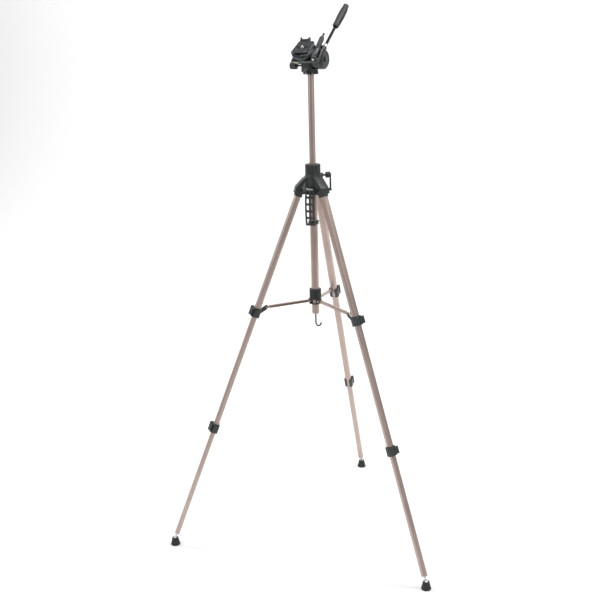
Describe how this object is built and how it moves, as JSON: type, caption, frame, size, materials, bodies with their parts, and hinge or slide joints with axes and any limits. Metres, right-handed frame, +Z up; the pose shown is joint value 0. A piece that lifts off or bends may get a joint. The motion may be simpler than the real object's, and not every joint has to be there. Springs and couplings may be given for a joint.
{
  "type": "tripod with pan head",
  "caption": "Folding three-leg camera tripod with telescopic legs, sliding spreader brace, geared centre column with crank and a three-way pan and tilt head.",
  "frame": {"origin": "on the floor, midway between the feet in both directions (centre of the bounding box's underside)", "axes": "+Z up along the centre column, which stands over (0, -124.25) mm; +Y towards the leg opposite the carrying handle; +X to the right of that"},
  "size_m": [0.8758, 0.7625, 1.7028],
  "materials": {
    "champagne_aluminium": "satin champagne anodised",
    "black_plastic": "fine-grained black moulding",
    "platform_plastic": "semi-gloss black moulding",
    "steel": "plain zinc-plated",
    "handle_steel": "gloss black",
    "black_wire": "black-coated wire",
    "rubber": "soft matt"
  },
  "bodies": {
    "stand": {"canopy": "black_plastic", "leg_hinge_pins": "steel", "guide_tube": "champagne_aluminium", "carry_handle": "black_plastic", "end_plug": "champagne_aluminium"},
    "hook": {"hook": "black_wire"},
    "column": {"column_tube": "champagne_aluminium", "column_rack": "steel", "pan_base": "black_plastic"},
    "lock_ring": {"lock_ring": "black_plastic"},
    "crank": {"crank_shaft": "steel", "crank_arm": "black_plastic"},
    "crank_knob": {"crank_knob": "black_plastic"},
    "brace_hub": {"brace_hub": "black_plastic", "hub_pins": "steel"},
    "leg_1": {"leg_cap_1": "black_plastic", "upper_tube_1": "champagne_aluminium", "main_clamp_1": "black_plastic"},
    "main_lever_1": {"main_lever_1": "black_plastic"},
    "leg_1_middle": {"middle_tube_1": "champagne_aluminium", "lower_clamp_1": "black_plastic"},
    "lower_lever_1": {"lower_lever_1": "black_plastic"},
    "leg_1_lower": {"lower_tube_1": "champagne_aluminium", "foot_stud_1": "steel"},
    "foot_1": {"foot_1": "rubber"},
    "brace_arm_1": {"brace_arm_1": "champagne_aluminium"},
    "leg_2": {"leg_cap_2": "black_plastic", "upper_tube_2": "champagne_aluminium", "main_clamp_2": "black_plastic"},
    "main_lever_2": {"main_lever_2": "black_plastic"},
    "leg_2_middle": {"middle_tube_2": "champagne_aluminium", "lower_clamp_2": "black_plastic"},
    "lower_lever_2": {"lower_lever_2": "black_plastic"},
    "leg_2_lower": {"lower_tube_2": "champagne_aluminium", "foot_stud_2": "steel"},
    "foot_2": {"foot_2": "rubber"},
    "brace_arm_2": {"brace_arm_2": "champagne_aluminium"},
    "leg_3": {"leg_cap_3": "black_plastic", "upper_tube_3": "champagne_aluminium", "main_clamp_3": "black_plastic"},
    "main_lever_3": {"main_lever_3": "black_plastic"},
    "leg_3_middle": {"middle_tube_3": "champagne_aluminium", "lower_clamp_3": "black_plastic"},
    "lower_lever_3": {"lower_lever_3": "black_plastic"},
    "leg_3_lower": {"lower_tube_3": "champagne_aluminium", "foot_stud_3": "steel"},
    "foot_3": {"foot_3": "rubber"},
    "brace_arm_3": {"brace_arm_3": "champagne_aluminium"},
    "pan_head": {"pan_body": "black_plastic", "tilt_pin": "steel"},
    "pan_knob": {"pan_knob": "black_plastic"},
    "tilt_head": {"tilt_body": "black_plastic", "side_pin": "steel"},
    "handle": {"handle_rod": "handle_steel", "handle_grip": "rubber"},
    "side_knob": {"side_knob": "rubber"},
    "platform": {"platform": "platform_plastic"},
    "quick_lever": {"quick_lever": "black_plastic"},
    "quick_plate": {"quick_plate": "platform_plastic"},
    "camera_screw": {"camera_screw": "steel"}
  },
  "joints": [
    {"name": "leg_1_fold", "type": "hinge", "parent": "stand", "child": "leg_1", "pos_m": [0, -0.08425, 1.1652], "axis": [-1, 0, 0], "range_deg": [0, 19.5]},
    {"name": "leg_1_main_lever", "type": "hinge", "parent": "leg_1", "child": "main_lever_1", "pos_m": [0.012, 0.08006, 0.7887], "axis": [0, 0.3651, -0.931], "range_deg": [0, 110]},
    {"name": "leg_1_middle_slide", "type": "slide", "parent": "leg_1", "child": "leg_1_middle", "axis": [0, -0.3651, 0.931], "range_m": [0, 0.34]},
    {"name": "leg_1_lower_lever", "type": "hinge", "parent": "leg_1_middle", "child": "lower_lever_1", "pos_m": [0.0108, 0.22745, 0.40964], "axis": [0, 0.3651, -0.931], "range_deg": [0, 110]},
    {"name": "leg_1_lower_slide", "type": "slide", "parent": "leg_1_middle", "child": "leg_1_lower", "axis": [0, -0.3651, 0.931], "range_m": [0, 0.36]},
    {"name": "foot_1_swivel", "type": "hinge", "parent": "leg_1_lower", "child": "foot_1", "pos_m": [0, 0.36412, 0.022], "axis": [-1, 0, 0], "range_deg": [-15, 15]},
    {"name": "leg_2_fold", "type": "hinge", "parent": "stand", "child": "leg_2", "pos_m": [-0.03464, -0.14425, 1.1652], "axis": [0.5, -0.866, 0], "range_deg": [0, 19.5]},
    {"name": "leg_2_main_lever", "type": "hinge", "parent": "leg_2", "child": "main_lever_2", "pos_m": [-0.18294, -0.21602, 0.7887], "axis": [-0.3162, -0.1826, -0.931], "range_deg": [0, 110]},
    {"name": "leg_2_middle_slide", "type": "slide", "parent": "leg_2", "child": "leg_2_middle", "axis": [0.3162, 0.1826, 0.931], "range_m": [0, 0.34]},
    {"name": "leg_2_lower_lever", "type": "hinge", "parent": "leg_2_middle", "child": "lower_lever_2", "pos_m": [-0.30998, -0.29074, 0.40964], "axis": [-0.3162, -0.1826, -0.931], "range_deg": [0, 110]},
    {"name": "leg_2_lower_slide", "type": "slide", "parent": "leg_2_middle", "child": "leg_2_lower", "axis": [0.3162, 0.1826, 0.931], "range_m": [0, 0.36]},
    {"name": "foot_2_swivel", "type": "hinge", "parent": "leg_2_lower", "child": "foot_2", "pos_m": [-0.42294, -0.36844, 0.022], "axis": [0.5, -0.866, 0], "range_deg": [-15, 15]},
    {"name": "leg_3_fold", "type": "hinge", "parent": "stand", "child": "leg_3", "pos_m": [0.03464, -0.14425, 1.1652], "axis": [0.5, 0.866, 0], "range_deg": [0, 19.5]},
    {"name": "leg_3_main_lever", "type": "hinge", "parent": "leg_3", "child": "main_lever_3", "pos_m": [0.17094, -0.2368, 0.7887], "axis": [0.3162, -0.1826, -0.931], "range_deg": [0, 110]},
    {"name": "leg_3_middle_slide", "type": "slide", "parent": "leg_3", "child": "leg_3_middle", "axis": [-0.3162, 0.1826, 0.931], "range_m": [0, 0.34]},
    {"name": "leg_3_lower_lever", "type": "hinge", "parent": "leg_3_middle", "child": "lower_lever_3", "pos_m": [0.29918, -0.30945, 0.40964], "axis": [0.3162, -0.1826, -0.931], "range_deg": [0, 110]},
    {"name": "leg_3_lower_slide", "type": "slide", "parent": "leg_3_middle", "child": "leg_3_lower", "axis": [-0.3162, 0.1826, 0.931], "range_m": [0, 0.36]},
    {"name": "foot_3_swivel", "type": "hinge", "parent": "leg_3_lower", "child": "foot_3", "pos_m": [0.42294, -0.36844, 0.022], "axis": [0.5, 0.866, 0], "range_deg": [-15, 15]},
    {"name": "brace_hub_slide", "type": "slide", "parent": "stand", "child": "brace_hub", "axis": [0, 0, 1], "range_m": [0, 0.111]},
    {"name": "brace_arm_1_hinge", "type": "hinge", "parent": "brace_hub", "child": "brace_arm_1", "pos_m": [0, -0.10425, 0.80829], "axis": [-1, 0, 0], "range_deg": [0, 86]},
    {"name": "brace_arm_2_hinge", "type": "hinge", "parent": "brace_hub", "child": "brace_arm_2", "pos_m": [-0.01732, -0.13425, 0.80829], "axis": [0.5, -0.866, 0], "range_deg": [0, 86]},
    {"name": "brace_arm_3_hinge", "type": "hinge", "parent": "brace_hub", "child": "brace_arm_3", "pos_m": [0.01732, -0.13425, 0.80829], "axis": [0.5, 0.866, 0], "range_deg": [0, 86]},
    {"name": "hook_swivel", "type": "hinge", "parent": "stand", "child": "hook", "pos_m": [0, -0.12425, 0.76], "axis": [0, 0, 1], "continuous": true},
    {"name": "column_slide", "type": "slide", "parent": "stand", "child": "column", "axis": [0, 0, 1], "range_m": [-0.262, 0]},
    {"name": "lock_ring_turn", "type": "hinge", "parent": "stand", "child": "lock_ring", "pos_m": [0, -0.12425, 1.225], "axis": [0, 0, 1], "range_deg": [0, 60]},
    {"name": "crank_turn", "type": "hinge", "parent": "stand", "child": "crank", "pos_m": [0.03127, -0.08841, 1.2015], "axis": [0.866, 0.5, 0], "range_deg": [-5, 2510]},
    {"name": "crank_knob_spin", "type": "hinge", "parent": "crank", "child": "crank_knob", "pos_m": [0.04166, -0.08241, 1.1555], "axis": [0.866, 0.5, 0], "continuous": true},
    {"name": "pan", "type": "hinge", "parent": "column", "child": "pan_head", "pos_m": [0, -0.12425, 1.518], "axis": [0, 0, 1], "continuous": true},
    {"name": "pan_knob_turn", "type": "hinge", "parent": "pan_head", "child": "pan_knob", "pos_m": [-0.04946, -0.11695, 1.5295], "axis": [-0.9893, 0.1461, 0], "range_deg": [0, 180]},
    {"name": "tilt", "type": "hinge", "parent": "pan_head", "child": "tilt_head", "pos_m": [0, -0.12425, 1.548], "axis": [0.9893, -0.1461, 0], "range_deg": [-74, 42]},
    {"name": "handle_twist", "type": "hinge", "parent": "tilt_head", "child": "handle", "pos_m": [0.03964, -0.08853, 1.59282], "axis": [0.1151, 0.7796, 0.6157], "range_deg": [0, 120]},
    {"name": "side_turn", "type": "hinge", "parent": "tilt_head", "child": "platform", "pos_m": [0.03201, -0.16757, 1.56882], "axis": [0.1051, 0.7116, 0.6947], "range_deg": [0, 90]},
    {"name": "side_knob_turn", "type": "hinge", "parent": "tilt_head", "child": "side_knob", "pos_m": [0.03653, -0.13697, 1.59869], "axis": [0.1051, 0.7116, 0.6947], "range_deg": [0, 180]},
    {"name": "quick_lever_turn", "type": "hinge", "parent": "platform", "child": "quick_lever", "pos_m": [0.01416, -0.17898, 1.56305], "axis": [-0.1015, -0.6872, 0.7193], "range_deg": [0, 60]},
    {"name": "quick_plate_lift", "type": "slide", "parent": "platform", "child": "quick_plate", "axis": [-0.1015, -0.6872, 0.7193], "range_m": [0, 0.03]},
    {"name": "camera_screw_turn", "type": "hinge", "parent": "quick_plate", "child": "camera_screw", "pos_m": [-0.01073, -0.15923, 1.58258], "axis": [-0.1015, -0.6872, 0.7193], "continuous": true}
  ],
  "couplings": [
    {"joint": "leg_2_fold", "follows": "leg_1_fold", "ratio": 1},
    {"joint": "leg_3_fold", "follows": "leg_1_fold", "ratio": 1},
    {"joint": "brace_hub_slide", "follows": "leg_1_fold", "m_per_rad": 0.32573},
    {"joint": "brace_arm_1_hinge", "follows": "leg_1_fold", "ratio": 4.38},
    {"joint": "brace_arm_2_hinge", "follows": "leg_1_fold", "ratio": 4.38},
    {"joint": "brace_arm_3_hinge", "follows": "leg_1_fold", "ratio": 4.38},
    {"joint": "crank_turn", "follows": "column_slide", "rad_per_m": -166.67}
  ]
}
